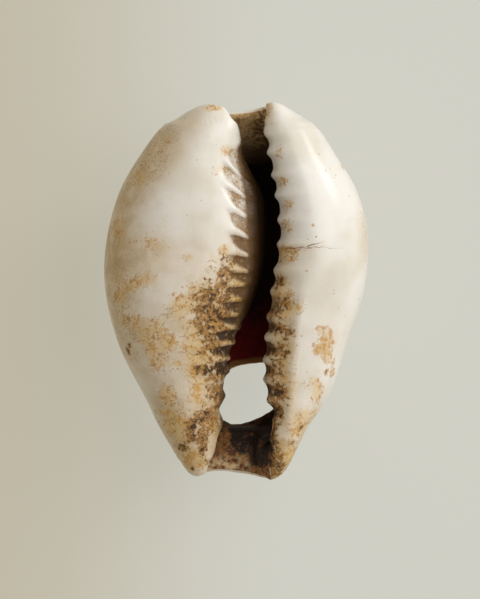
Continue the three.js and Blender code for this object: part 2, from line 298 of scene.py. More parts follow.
SECTION_KNOTS = knots_along(section_points(stations_at(MID_STATION))[0, :, :2])


def reached_places(u, s):
    """The places round each section that u reaches where the wall starts late or stops early."""
    right, left = SECTION_KNOTS[RIGHT_BASE], SECTION_KNOTS[LEFT_BASE]
    numbers = np.arange(len(SECTION_KNOTS))
    start = np.interp(s["start"], numbers, SECTION_KNOTS)[:, None]
    stop = np.interp(s["stop"], numbers, SECTION_KNOTS)[:, None]
    u = np.broadcast_to(u, (len(start), len(u)))
    places = np.where(u < right, lerp(right, start, (right - u) / right), u)
    return np.where(u > left, lerp(left, stop, (u - left) / (1 - left)), places)


def wall_middle(u, v, notch):
    """The middle of the wall on a grid of places, its thickness outwards and inwards, and the
    section place that each column reaches."""
    s = stations_at(v)
    places = reached_places(u, s)
    points = read_curves(SECTION_KNOTS, section_points(s), places)
    x, z, outer, inner, notched, lag = np.moveaxis(points, -1, 0)
    anterior = ANTERIOR_NOTCH * smooth_step(v, 1 - NOTCH_REACH, 1)
    drawn_in = notch * (anterior - 1 + smooth_step(v, 0, NOTCH_REACH))
    y = s["y"][:, None] + notched * drawn_in[:, None] + lag * s["lag"][:, None]
    share = s["share"][:, None]
    return np.stack([x, y, z], axis=-1), outer * share, inner * share, places


# ---- Teeth ----

# The outer lip's teeth, by the place of each crest along the shell.
OUTER_TEETH = (10.4, 9.2, 7.7, 6.35, 4.7, 3.0, 1.3, -0.1, -1.75, -3.1, -4.55, -5.8, -7.1, -8.4)

# The inner lip's teeth: the place of each crest along the shell, measured at INNER_TEETH_X,
# and its slope from left to right.
INNER_TEETH_X = -0.3
INNER_TEETH = (
    (8.05, -0.84), (6.72, -0.58), (5.34, -0.5), (3.86, -0.3), (2.5, -0.18), (1.34, -0.1),
    (0.35, 0), (-0.64, 0), (-1.64, 0.05), (-2.5, 0.1), (-3.48, 0.14), (-4.5, 0.14),
    (-5.75, 0.1),
)

# Where the gaps between the inner lip's teeth end on the left, and where they run out into
# the smooth wall on the right: y, left x, right x. The list is turned round for reading.
INNER_GAP_ENDS = np.array([
    (12.5, -0.7, 0.9), (10.2, -0.7, 0.7), (9.4, -0.7, 0.25), (8.7, -1.0, 0.2),
    (7.6, -1.45, 0.5), (6.1, -0.9, 0.75), (4.7, -0.85, 0.85), (3.2, -0.7, 0.95),
    (1.9, -0.75, 0.95), (0.8, -0.95, 0.85), (-0.2, -1.25, 0.6), (-1.1, -1.45, 0.35),
    (-2.1, -1.6, 0.2), (-3.0, -2.05, 0.1), (-4.0, -2.1, -0.1), (-5.2, -1.7, -0.4),
    (-6.7, -1.7, -0.9), (-8.0, -2.2, -0.9), (-12.5, -2.4, -0.6),
])[::-1]


def bell(value, width):
    return np.exp(-((value / width) ** 2))


def outer_gaps(u, y):
    """1 in the gaps between the outer lip's teeth, 0 on the teeth and away from the lip."""
    teeth = np.max([bell(y - crest, 0.27) for crest in OUTER_TEETH], axis=0)
    beyond = smooth_step(y, OUTER_TEETH[-1] - 0.2, OUTER_TEETH[-1] + 0.3)
    beyond = beyond * (1 - smooth_step(y, OUTER_TEETH[0] - 0.3, OUTER_TEETH[0] + 0.2))
    near_lip = 1 - smooth_step(u, 0, 1.2 * SECTION_KNOTS[LIP_CREST])
    return (1 - teeth) * beyond * near_lip


def inner_gap_ends(y):
    """Where the gaps between the inner lip's teeth end on the left and on the right."""
    places, left, right = INNER_GAP_ENDS.T
    return np.interp(y, places, left), np.interp(y, places, right)


def inner_gaps(u, x, y):
    """1 in the gaps between the inner lip's teeth, 0 on the teeth and away from the lip."""
    left, right = inner_gap_ends(y)
    across = (x - left) / (right - left)
    taper = np.clip(across, 0, 1)
    above, below = lerp(1.3, 0.13, taper**0.5), lerp(0.2, 0.13, taper)
    teeth = np.zeros_like(x)
    for crest, slope in INNER_TEETH:
        away = y - crest - slope * (x - INNER_TEETH_X)
        teeth = np.maximum(teeth, bell(away, np.where(away > 0, above, below)))
    inside = smooth_step(across, -0.1, 0.5) * (1 - smooth_step(across, 0.85, 1.3))
    inside = inside * smooth_step(y, -6.4, -5.4) * (1 - smooth_step(y, 8.9, 9.7))
    near_lip = (u > SECTION_KNOTS[LEFT_BASE]) & (u < SECTION_KNOTS[INNER_LIP + 3])
    return (1 - teeth) * inside * near_lip


def base_relief(x, y):
    """How far the base beside the outer lip lies below a plain curve: a shallow hollow next
    to the teeth and a low ridge beyond it, in the anterior half."""
    anterior = (1 - smooth_step(y, -1.2, 1.8)) * smooth_step(y, -9.6, -8.0)
    ridge = 4.15 + 0.1 * y
    return anterior * (0.15 * bell(x - ridge + 0.85, 0.45) - 0.11 * bell(x - ridge, 0.28))


# Soil-covered lumps on the inner lip beside the hole, and one dip: y, height and half length.
KNOBS = (
    (-5.25, 0.55, 0.3), (-6.95, 0.36, 0.45), (-7.85, -0.12, 0.25), (-6.1, 0.1, 0.2),
    (-8.7, 0.3, 0.5),
)


def inner_lip_knobs(places, y):
    """How far the lumps stand out of the inner lip, slightly uneven."""
    on_lip = bell(places - SECTION_KNOTS[INNER_LIP + 2], 0.035)
    lumps = sum(height * bell(y - place, width) for place, height, width in KNOBS)
    return on_lip * (lumps + 0.03 * np.sin(9 * y) * bell(y + 6.4, 1.3))


# ---- The closed skin ----

EDGE_STEPS = 5  # steps of the wall's rounded edge, from its rim to its full thickness

# How closely columns stand at each section point, so that the lips get the most.
COLUMN_WEIGHTS = (
    4, 4, 4, 3, 2, 1.6, 1.5, 1, 0.8, 0.8, 0.8, 1, 1.5, 1.6, 2.2, 3.6, 4.5, 4.5, 3, 1.5, 1, 1, 1,
)


def spaced_columns(count):
    """Places round the section, close together where the weights are high."""
    fine = np.linspace(0, 1, 2000)
    weights = np.interp(fine, SECTION_KNOTS, COLUMN_WEIGHTS)
    share = np.cumsum(weights) - weights[0]
    return np.interp(np.linspace(0, share[-1], count), share, fine)


def rounded_run(count):
    """Grid lines with a rounded edge at both ends: each line's number and how far it stands
    out into the edge."""
    out = [math.cos(math.pi / 2 * i / EDGE_STEPS) for i in range(EDGE_STEPS)]
    lines = [0] * EDGE_STEPS + list(range(count)) + [count - 1] * EDGE_STEPS
    return np.array(lines), np.array(out + [0] * count + out[::-1])


def normalised(vectors):
    return vectors / np.linalg.norm(vectors, axis=-1, keepdims=True)


def skin_points(sizes):
    """Points of the closed skin on a grid, row by row, with what each one is part of."""
    u = spaced_columns(sizes.columns)
    v = np.linspace(0, 1, sizes.rows)
    centre, outer, inner, reached = wall_middle(u, v, sizes.canal_notch / MM)
    along_u = normalised(np.gradient(centre, u, axis=1))
    along_v = normalised(np.gradient(centre, v, axis=0))
    normal = normalised(np.cross(along_v, along_u))
    x, y, _ = np.moveaxis(centre + normal * outer[..., None], -1, 0)
    gaps_out, gaps_in = outer_gaps(reached, centre[..., 1]), inner_gaps(reached, x, y)
    outer = outer - gaps_out * sizes.outer_gap / MM - gaps_in * sizes.inner_gap / MM
    outer = outer - base_relief(x, y) * (reached < SECTION_KNOTS[RIGHT_BASE])
    outer = outer + inner_lip_knobs(reached, y)

    rows, row_out = rounded_run(sizes.rows)
    across, across_out = rounded_run(sizes.columns)
    ring = np.concatenate([across, across[-2:0:-1], across[:1]])
    ring_out = np.concatenate([across_out, across_out[-2:0:-1], across_out[:1]])
    outside = np.arange(len(ring)) < len(across)
    outside[-1] = True

    grid = np.ix_(rows, ring)
    to_side = normalised(np.cross(normal, along_v))[grid]
    to_end = normalised(np.cross(along_u, normal))[grid]
    out_u = ring_out[None] * np.sqrt(1 - row_out[:, None] ** 2 / 2)
    out_v = row_out[:, None] * np.sqrt(1 - ring_out[None] ** 2 / 2)
    out_n = np.sqrt(np.clip(1 - out_u**2 - out_v**2, 0, 1))
    thick = outer[grid]
    reach_u = np.where(u[ring] < 0.5, -1, 1)[None] * out_u * thick
    reach_v = np.where(v[rows] < 0.5, -1, 1)[:, None] * out_v * thick
    reach_n = out_n * np.where(outside[None], thick, -inner[grid])
    points = centre[grid] + to_side * reach_u[..., None] + to_end * reach_v[..., None]
    points = points + normal[grid] * reach_n[..., None]
    fields = {
        "around": reached[grid],
        "along": np.broadcast_to(v[rows][:, None], out_u.shape),
        "outside": np.where(outside[None], out_n, -out_n),
        "groove": (gaps_out + gaps_in)[grid],
        "made": np.ones(out_u.shape),
    }
    return points, fields


# ---- Operators' helpers ----


def only_selected(piece):
    bpy.ops.object.select_all(action="DESELECT")
    piece.select_set(True)
    bpy.context.view_layer.objects.active = piece


def coordinates(mesh):
    flat = np.empty(len(mesh.vertices) * 3)
    mesh.vertices.foreach_get("co", flat)
    return flat.reshape(-1, 3)


def set_coordinates(mesh, points):
    mesh.vertices.foreach_set("co", np.ascontiguousarray(points, dtype=np.float64).ravel())
    mesh.update()


def set_field(mesh, name, values):
    field = mesh.attributes.get(name) or mesh.attributes.new(name, "FLOAT", "POINT")
    field.data.foreach_set("value", np.ascontiguousarray(values, dtype=np.float32).ravel())


def get_field(mesh, name):
    values = np.empty(len(mesh.vertices), dtype=np.float32)
    mesh.attributes[name].data.foreach_get("value", values)
    return values.astype(float)


def edit_mesh(piece, *steps):
    """Runs edit mode steps on the whole of a piece."""
    only_selected(piece)
    bpy.ops.object.mode_set(mode="EDIT")
    bpy.ops.mesh.select_all(action="SELECT")
    for step in steps:
        step()
    bpy.ops.object.mode_set(mode="OBJECT")


def weld():
    bpy.ops.mesh.remove_doubles(threshold=0.0005)


def face_outwards():
    bpy.ops.mesh.normals_make_consistent(inside=False)


def edit_points(piece, chosen, step):
    """Runs one edit mode step on the points chosen."""
    only_selected(piece)
    bpy.ops.object.mode_set(mode="EDIT")
    bpy.ops.mesh.select_mode(type="VERT")
    bpy.ops.mesh.select_all(action="DESELECT")
    bpy.ops.object.mode_set(mode="OBJECT")
    piece.data.vertices.foreach_set("select", chosen)
    bpy.ops.object.mode_set(mode="EDIT")
    step()
    bpy.ops.object.mode_set(mode="OBJECT")


def soften(piece, chosen, rounds):
    edit_points(piece, chosen, lambda: bpy.ops.mesh.vertices_smooth(factor=0.5, repeat=rounds))


def drop_spare_points(piece):
    """Removes the points that a cut leaves along an edge between only two faces."""
    ends = np.empty(len(piece.data.edges) * 2, dtype=np.int32)
    piece.data.edges.foreach_get("vertices", ends)
    edges_at = np.bincount(ends, minlength=len(piece.data.vertices))
    edit_points(piece, edges_at == 2, bpy.ops.mesh.dissolve_verts)


# ---- Wear ----

# Smoothing at the ends, before and after the lobes are shaped: which end (1 posterior, -1
# anterior, 0 both), from how far out in y, between which x, and how many rounds.
FAR = math.inf
ROUNDS_BEFORE = (
    (0, 10.7, -FAR, FAR, 16), (-1, 9.9, 0.2, FAR, 60), (0, 11.1, -FAR, -0.3, 90),
    (1, 11.2, 0.6, FAR, 50),
)
ROUNDS_AFTER = ((-1, 11.2, 0.2, FAR, 45), (0, 11.3, -FAR, FAR, 8))
LIP_ROUNDS, RIM_ROUNDS = 5, 2
RIM_WIDTH = 0.05  # how much of the hole's rim is smoothed, as a share of the hole

# Where the corners of the lobes at both ends are worn round: x, y and radius, and which way
# the corner points in x and y.
WORN_CORNERS = ((-1.55, 11.25, 1.15, 1, 1), (-2.5, -11.45, 0.8, 1, -1), (2.1, 11.5, 1.05, -1, 1))

# The outer lip's anterior end is worn blunt from this place on, and at most this deep.
BLUNT_FROM, BLUNT_DEPTH = 11.95, 0.62


def soften_ends(piece, points, table):
    """Smooths the parts of both ends that a table of rounds lists; points are the places that
    choose them."""
    x, y, _ = points.T
    for end, start, low, high, rounds in table:
        out = y * end if end else np.abs(y)
        soften(piece, (out > start) & (x > low) & (x < high), rounds)


def worn_round(points):
    """The lobes at both ends with their corners drawn in to a curve."""
    points = points.copy()
    for corner_x, corner_y, radius, side, end in WORN_CORNERS:
        x = np.maximum((points[:, 0] - corner_x) * side, 0)
        y = np.maximum((points[:, 1] - corner_y) * end, 0)
        away = np.hypot(x, y) + 1e-9
        kept = 0.6 * radius
        near = kept + (radius - kept) * np.tanh((away - kept) / (radius - kept))
        share = smooth_step(points[:, 2], 7.8, 9.2) * (x > 0) * (y > 0) * (away > kept)
        share = share * (1 - smooth_step(away, 1.6 * radius, 1.9 * radius))
        drawn_in = (1 - near / away) * share
        points[:, 0] -= side * x * drawn_in
        points[:, 1] -= end * y * drawn_in
    return points


def drawn_out(points):
    """The lobes at both ends drawn out, and the outer lip's anterior end made wider and
    blunt."""
    x, y, z = points.T
    posterior = 0.2 * bell(x + 1.7, 0.9) + 0.13 * bell(x - 2.0, 0.9)
    anterior = 0.12 * bell(x + 2.6, 0.8) + 0.75 * bell(x - 1.9, 1.0)
    long_y = y + posterior * smooth_step(y, 10.8, 12.2) - anterior * smooth_step(-y, 10.4, 12.0)
    over = np.maximum(-long_y - BLUNT_FROM, 0) / BLUNT_DEPTH
    blunt_y = -BLUNT_FROM - BLUNT_DEPTH * np.tanh(over)
    long_y = np.where((over > 0) & (x > 0), blunt_y, long_y)
    wide_x = x + 0.3 * smooth_step(-y, 8.5, 11.6) * smooth_step(x, 0.6, 1.9)
    return np.stack([wide_x, long_y, z], axis=1)


# ---- The hole ----

HOLE_X, HOLE_Y, HOLE_TURN = 0.75, -6.75, 0.4
HOLE_TOP, CUTTER_FOOT = 6.2, -3.0  # the post that cuts the hole stands between these heights
CUTTER_RINGS, CUTTER_CORNERS = 14, 120


def hole_outline(angle, height):
    """How far the ragged rim of the hole stands from a plain oval, as a share."""
    large = 0.04 * np.sin(3 * angle + 1) + 0.03 * np.sin(5 * angle)
    chips = 0.018 * np.sin(9 * angle + 2.1 * height) + 0.012 * np.sin(17 * angle - 3 * height)
    grain = 0.008 * np.sin(31 * angle + 5 * height) + 0.006 * np.sin(47 * angle + 1)
    return 1 + large + chips + grain


def turned(x, y, angle):
    """A place as it lies from axes turned by an angle."""
    return x * math.cos(angle) + y * math.sin(angle), y * math.cos(angle) - x * math.sin(angle)


def hole_place(points, sizes):
    """Angle and distance of points from the middle of the hole, where 1 is on its rim."""
    x, y = turned(points[:, 0] - HOLE_X, points[:, 1] - HOLE_Y, HOLE_TURN)
    oval_x, oval_y = x / (sizes.hole_length / MM), y / (sizes.hole_width / MM)
    angle = np.arctan2(oval_y, oval_x)
    return angle, np.hypot(oval_x, oval_y) / hole_outline(angle, points[:, 2])


def hole_cutter(sizes):
    """A ragged oval post that stands through the back and stops inside the shell."""
    bpy.ops.object.select_all(action="DESELECT")
    bpy.ops.mesh.primitive_grid_add(
        x_subdivisions=CUTTER_CORNERS, y_subdivisions=CUTTER_RINGS, size=1, location=(0, 0, 0)
    )
    cutter = bpy.context.object
    flat = coordinates(cutter.data)
    angle = (flat[:, 0] + 0.5) * 2 * math.pi
    z = lerp(CUTTER_FOOT, HOLE_TOP, flat[:, 1] + 0.5)
    reach = hole_outline(np.arctan2(np.sin(angle), np.cos(angle)), z)
    x = sizes.hole_length / MM * reach * np.cos(angle)
    y = sizes.hole_width / MM * reach * np.sin(angle)
    x, y = turned(x, y, -HOLE_TURN)
    set_coordinates(cutter.data, np.stack([x + HOLE_X, y + HOLE_Y, z], axis=1))

    def close_ends():
        bpy.ops.mesh.select_all(action="DESELECT")
        bpy.ops.mesh.select_non_manifold()
        bpy.ops.mesh.edge_face_add()
        bpy.ops.mesh.select_all(action="SELECT")

    edit_mesh(cutter, weld, close_ends, face_outwards)
    return cutter


def pierce(shell, sizes):
    """Cuts the hole through the back and softens its rim."""
    cutter = hole_cutter(sizes)
    only_selected(shell)
    cut = shell.modifiers.new("pierce", "BOOLEAN")
    cut.operation = "DIFFERENCE"
    cut.solver = "MANIFOLD"
    cut.object = cutter
    bpy.ops.object.modifier_apply(modifier=cut.name)
    bpy.data.objects.remove(cutter, do_unlink=True)
    drop_spare_points(shell)
    points = coordinates(shell.data)
    _, from_hole = hole_place(points, sizes)
    rim = (np.abs(from_hole - 1) < RIM_WIDTH) & (points[:, 2] < HOLE_TOP)
    soften(shell, rim, RIM_ROUNDS)


# ---- Marks on the shell ----

# Each mark is x, y, half width, half height and amount, on the side with the aperture.
SOIL_MARKS = (
    # beside the inner lip, posterior end first
    (-0.4, 2.0, 0.8, 0.5, 0.6), (-0.8, 0.9, 0.9, 0.6, 0.75), (-1.6, -0.2, 1.0, 0.6, 0.8),
    (-2.3, -1.0, 0.7, 0.6, 0.75), (-1.3, -1.5, 0.9, 0.5, 0.85), (-2.0, -2.05, 0.8, 0.4, 0.8),
    (-1.0, -2.95, 1.2, 0.4, 0.95), (-1.2, -4.0, 1.1, 0.35, 0.9), (-2.2, -5.2, 0.6, 0.4, 0.85),
    (-1.2, -5.2, 0.8, 0.45, 0.95), (-1.2, -6.9, 0.7, 0.6, 0.95), (-2.0, -8.1, 0.5, 0.45, 0.85),
    (-2.8, -8.7, 0.4, 0.5, 0.9), (-2.75, -9.4, 0.5, 0.5, 0.95), (-3.6, -10.3, 0.4, 0.35, 0.85),
    (-2.3, -10.2, 0.3, 0.6, 0.8), (-1.75, -11.3, 0.35, 0.3, 0.85),
    (-7.2, -3.8, 0.15, 0.4, 0.95),
    (-1.6, -3.5, 1.3, 4.4, 0.5), (-2.6, -9.8, 1.1, 1.8, 0.3), (-3.0, -11.7, 0.15, 0.15, 0.9),
    # beside the outer lip, posterior end first
    (1.45, 12.1, 0.35, 0.4, 0.85), (2.85, 0.6, 0.5, 0.45, 0.7), (3.0, -0.8, 0.7, 0.35, 0.75),
    (2.5, -1.5, 0.5, 0.3, 0.75), (2.6, -2.45, 0.7, 0.35, 0.9), (3.25, -2.85, 0.5, 0.35, 0.8),
    (2.35, -3.85, 0.7, 0.35, 1.0), (3.25, -4.0, 0.25, 0.35, 0.85), (2.65, -5.0, 0.4, 0.5, 0.8),
    (2.1, -5.45, 0.5, 0.3, 0.8), (2.6, -6.7, 0.75, 0.5, 1.0), (2.5, -8.1, 0.5, 0.6, 0.95),
    (2.1, -9.5, 0.45, 1.1, 0.95), (3.7, -10.1, 0.5, 0.3, 0.55), (2.1, -11.2, 0.6, 0.9, 0.85),
    (1.7, -10.6, 0.35, 0.8, 0.9),
    (1.6, -11.4, 0.35, 0.7, 0.9), (2.2, -9.9, 0.35, 0.6, 0.95), (-1.6, -8.7, 0.5, 0.5, 0.5),
    (4.15, -8.9, 0.25, 0.6, 0.6), (5.8, -5.4, 0.15, 0.25, 0.9), (2.4, -4.8, 0.9, 5.0, 0.42),
    (3.2, -11.6, 0.9, 0.7, 0.55),
)
OCHRE_MARKS = (
    # between the aperture and the soil
    (0.0, -0.2, 0.7, 2.2, 0.75), (-0.7, -3.2, 0.9, 1.4, 0.6),
    # left of the aperture
    (-1.7, 12.1, 0.6, 0.25, 0.9), (-0.7, 9.2, 0.45, 0.4, 0.8), (-1.3, 7.9, 0.5, 0.4, 0.65),
    (-1.0, 2.65, 0.35, 0.4, 0.85), (-1.75, 2.05, 0.35, 0.3, 0.6), (-3.3, 2.2, 0.4, 0.35, 0.5),
    (-2.4, -0.4, 1.1, 0.9, 0.7), (-3.75, -1.05, 0.7, 0.6, 0.75), (-5.3, -2.45, 0.6, 0.6, 0.75),
    (-6.0, -3.2, 0.4, 0.35, 0.95), (-4.6, -3.3, 0.45, 0.4, 0.95), (-5.45, -3.9, 0.5, 0.4, 0.85),
    (-5.2, -4.8, 0.7, 0.5, 0.9), (-7.1, -2.0, 0.8, 0.6, 0.6), (-7.8, -0.1, 0.5, 1.1, 0.7),
    (-5.9, 0.8, 0.6, 0.5, 0.65), (-6.9, 0.45, 0.6, 0.4, 0.7), (-6.0, 3.2, 1.3, 0.7, 0.55),
    (-6.6, 7.5, 0.6, 0.7, 0.55), (-4.8, -6.75, 0.5, 0.5, 0.85), (-4.4, -7.1, 0.35, 0.5, 0.9),
    (-4.9, -8.0, 0.7, 0.2, 0.75), (-4.4, -8.8, 0.6, 0.5, 0.85), (-3.7, -9.2, 0.7, 0.8, 0.9),
    (-4.0, -4.8, 0.2, 0.2, 0.9), (-2.8, -3.2, 0.6, 0.7, 0.9), (-2.7, -4.6, 0.6, 0.9, 0.8),
    (-2.6, -6.5, 0.6, 1.2, 0.8), (-3.0, -11.2, 1.0, 0.9, 0.8), (-1.9, -1.4, 1.3, 2.2, 0.6),
    (-5.6, -1.2, 2.2, 2.0, 0.2), (-4.3, -4.4, 1.6, 2.2, 0.2), (-7.9, 4.6, 0.5, 1.4, 0.6),
    (-4.9, 9.8, 1.3, 0.9, 0.35),
    # right of the aperture
    (8.3, 4.4, 0.35, 1.8, 0.45), (6.9, 8.2, 0.25, 0.4, 0.7), (3.2, 2.45, 0.9, 0.55, 0.95),
    (3.2, 4.3, 0.4, 0.5, 0.9), (2.9, 7.2, 0.4, 0.4, 0.8), (3.3, 5.6, 0.4, 0.4, 0.75),
    (2.75, 9.1, 0.35, 0.6, 0.65), (3.7, -1.1, 0.6, 0.4, 0.85), (5.05, -6.9, 0.35, 0.4, 0.75),
    (4.7, -8.3, 0.45, 0.6, 0.9), (4.15, -8.95, 0.6, 0.7, 1.0), (5.3, -8.3, 0.25, 0.8, 0.8),
    (5.3, -6.6, 0.35, 0.5, 0.8),
    (3.0, -11.1, 1.4, 1.3, 1.0), (1.45, 11.7, 0.4, 0.9, 0.9), (2.9, -0.4, 0.9, 1.5, 0.7),
    (2.8, -5.5, 1.0, 2.8, 0.7),
    (5.0, -5.9, 0.7, 0.6, 0.45), (4.9, 4.3, 0.12, 0.12, 0.9), (4.5, 1.3, 0.12, 0.12, 0.8),
    (1.6, 12.0, 0.6, 0.5, 0.9), (5.8, -3.4, 0.9, 1.6, 0.15),
)
FILM_MARKS = (
    (0.1, -0.3, 0.7, 2.6, 0.8), (-0.6, -3.4, 1.0, 1.6, 0.7),
    (-8.4, 2.8, 1.1, 5.2, 0.85), (-7.5, 6.6, 1.1, 1.8, 0.6), (-5.7, 9.0, 1.5, 1.6, 0.5),
    (-3.6, 11.2, 1.8, 0.9, 0.3), (-5.2, 9.9, 1.1, 0.9, 0.5), (-6.6, 7.9, 1.0, 1.2, 0.5),
    (-7.2, -4.6, 0.9, 3.0, 0.4), (-4.6, -9.2, 1.2, 2.8, 0.75),
    (-6.3, 2.2, 2.0, 1.6, 0.5), (-5.6, -2.9, 2.0, 2.6, 0.3), (8.4, 4.0, 0.4, 3.0, 0.2),
    (5.0, -9.4, 1.2, 1.8, 0.4), (2.2, -11.6, 2.2, 1.2, 0.9), (-1.15, -9.6, 0.45, 2.2, 0.8),
    (3.0, -4.6, 0.7, 5.0, 0.6),
    (5.75, -3.4, 0.8, 1.4, 0.2), (-2.4, -4.0, 1.2, 5.4, 0.5), (1.5, 11.8, 0.6, 0.9, 0.85),
    (-1.35, -8.9, 0.5, 0.7, 0.9),
    (-2.9, -11.0, 1.3, 1.4, 0.55),
)
# A stain with an outline on the right of the base.
RING_MARKS = (
    (5.55, -2.55, 0.35, 0.35, 0.9), (5.95, -3.15, 0.4, 0.5, 0.9), (5.6, -3.85, 0.45, 0.5, 0.9),
    (5.95, -4.45, 0.3, 0.35, 0.85), (6.2, -5.3, 0.2, 0.4, 0.75), (5.0, -3.9, 0.25, 0.4, 0.5),
)


def marks_at(x, y, marks):
    """How strongly the marks show at each place, from 0 to 1."""
    left = np.ones_like(x)
    for mark_x, mark_y, half_x, half_y, amount in marks:
        away = ((x - mark_x) / half_x) ** 2 + ((y - mark_y) / half_y) ** 2
        left *= 1 - amount * np.exp(-0.7 * away)
    return 1 - left


def paint_fields(mesh, sizes, shift):
    """Stores on the mesh where each finish goes."""
    points = coordinates(mesh) / MM - shift
    x, y, z = points.T
    around, outside = get_field(mesh, "around"), get_field(mesh, "outside")
    groove = get_field(mesh, "groove")
    skin = smooth_step(outside, -0.3, 0.3)
    steep = smooth_step(y, 10.6, 11.8)
    upper = skin * smooth_step(z, 4.2 + 3.2 * steep, 6.8 + 2.6 * steep)
    _, gap_right = inner_gap_ends(y)
    on_core = (around > SECTION_KNOTS[LEFT_BASE]) * 1.0
    # How far in the wall lies past the inner lip's gaps; the wall is painted darker with it, a
    # painted shade.
    wall = on_core * np.clip((x - gap_right + 0.55) / 1.85, 0, 1) * skin
    # Where the inside colours go, painted dark shade with a painted glow: inner faces, deep core,
    # under the outer lip, rolled-in lip end.
    deep_core = smooth_step(around, SECTION_KNOTS[INNER_LIP + 2], SECTION_KNOTS[INNER_LIP + 4])
    under_lip = (1 - smooth_step(around, 0, SECTION_KNOTS[1])) * smooth_step(-outside, -0.7, 0)
    lip_end = smooth_step(-y, 9.0, 9.8) * smooth_step(x, 0.3, 0.9) * smooth_step(y, -12.2, -11.3)
    rolled_in = lip_end * (1 - smooth_step(outside, 0.3, 0.95))
    inside = np.maximum.reduce([1 - skin, deep_core, under_lip, rolled_in])
    _, from_hole = hole_place(points, sizes)
    near_hole = np.abs(from_hole - 1) * (sizes.hole_width / MM)
    low = 1 - smooth_step(z, HOLE_TOP - 0.4, HOLE_TOP)
    fields = {
        "soil": marks_at(x, y, SOIL_MARKS) * upper,
        "ochre": marks_at(x, y, OCHRE_MARKS) * upper,
        "film": marks_at(x, y, FILM_MARKS) * upper,
        "ring": marks_at(x, y, RING_MARKS) * upper,
        "wall": wall,
        "inside": inside,
        "broken": bell(near_hole, 0.06) * low,
        "rim": bell(near_hole, 0.45) * low,
        "back": skin * (1 - smooth_step(z, 4.0, 6.4)),
        "inner_groove": groove * on_core,
        "outer_groove": groove * (1 - on_core),
    }
    for name, values in fields.items():
        set_field(mesh, name, values)


# ---- Finish ----

# Colours that have no setting of their own, as they look on a screen.
SHADES = {
    name: linear(*shade)
    for name, shade in {
        "cream": (232, 225, 211), "straw": (216, 200, 168), "pale film": (226, 194, 130),
        "freckle": (160, 104, 44), "pale stain": (230, 192, 118), "stain line": (168, 110, 36),
        "ring": (222, 182, 112), "ring spot": (196, 138, 60), "tan wash": (208, 170, 104),
        "warm crust": (188, 134, 58), "brown crust": (118, 82, 42), "crust curl": (82, 52, 24),
        "chip": (224, 202, 166), "dark grit": (70, 48, 30), "pale grit": (214, 190, 150),
        "lip soil": (70, 46, 24), "wall grain": (60, 44, 26), "seep": (196, 150, 84),
        "crack": (132, 84, 38), "canal": (236, 202, 146), "canal patch": (164, 118, 66),
        "canal side": (104, 68, 34), "painted inside shade": (46, 8, 4), "painted canal shade": (84, 58, 32),
        "low floor": (158, 108, 56), "low patch": (88, 56, 32), "painted low shade": (36, 22, 11),
        "pale floor": (214, 184, 140), "low speck": (92, 60, 34), "rim": (116, 76, 40),
        "dark rim": (52, 33, 19), "pale rim": (206, 158, 92), "edge": (110, 74, 42),
        "dark edge": (66, 42, 24), "pore": (128, 96, 60), "stage": (112, 110, 104),
        "painted floor shade": (186, 180, 160),
    }.items()
}
# Soil in the inner lip's gaps, from y = GAPS_LOW on over GAPS_LONG, and the wall past them with
# its painted shade, darker as it goes in.
GAPS_LOW, GAPS_LONG = -6.0, 15.0
GAP_SHADES = (
    (0.0, (60, 40, 20)), (0.28, (72, 49, 26)), (0.42, (118, 84, 46)), (0.62, (134, 98, 56)),
    (0.72, (176, 138, 86)), (0.95, (196, 160, 104)),
)
WALL_PAINTED_SHADE = (
    (0.1, (138, 104, 62)), (0.36, (80, 56, 30)), (0.58, (44, 30, 16)), (0.95, (14, 8, 4)),
)
# The hairline crack: its y, the x at which its branch leaves it, the branch's slope, half the
# crack's width and half the width of the stain beside it.
CRACK_Y, BRANCH_X, BRANCH_SLOPE, CRACK_HALF, SEEP_HALF = 2.82, 4.4, 0.36, 0.06, 0.42
FILM_ROUGHNESS, BACK_ROUGHNESS, SOIL_ROUGHNESS = 0.42, 0.5, 0.8


class Value:
    """A number that a material's nodes work out. Sums with it add the nodes they need, and
    a | b is the larger of the two."""

    def __init__(self, recipe, socket):
        self.recipe, self.socket = recipe, socket

    def apply(self, operation, *others):
        node = self.recipe.add("ShaderNodeMath", enumerate((self, *others)), operation=operation)
        return Value(self.recipe, node.outputs[0])

    __add__ = partialmethod(apply, "ADD")
    __sub__ = partialmethod(apply, "SUBTRACT")
    __mul__ = partialmethod(apply, "MULTIPLY")
    __truediv__ = partialmethod(apply, "DIVIDE")
    __or__ = partialmethod(apply, "MAXIMUM")

    def stray(self, amount):
        """A noise as a push either way, of this amount."""
        return (self - 0.5) * amount

    def step(self, start, end, low=0.0, high=1.0):
        """low before start, high after end and an eased curve between."""
        ends = {"From Min": start, "From Max": end, "To Min": low, "To Max": high}
        node = self.recipe.add(
            "ShaderNodeMapRange", {"Value": self, **ends}, interpolation_type="SMOOTHSTEP"
        )
        return Value(self.recipe, node.outputs["Result"])

    def band(self, centre, width):
        """1 where the value is at the centre, 0 from the width away."""
        return (self - centre).apply("ABSOLUTE").step(0.0, width, 1.0, 0.0)


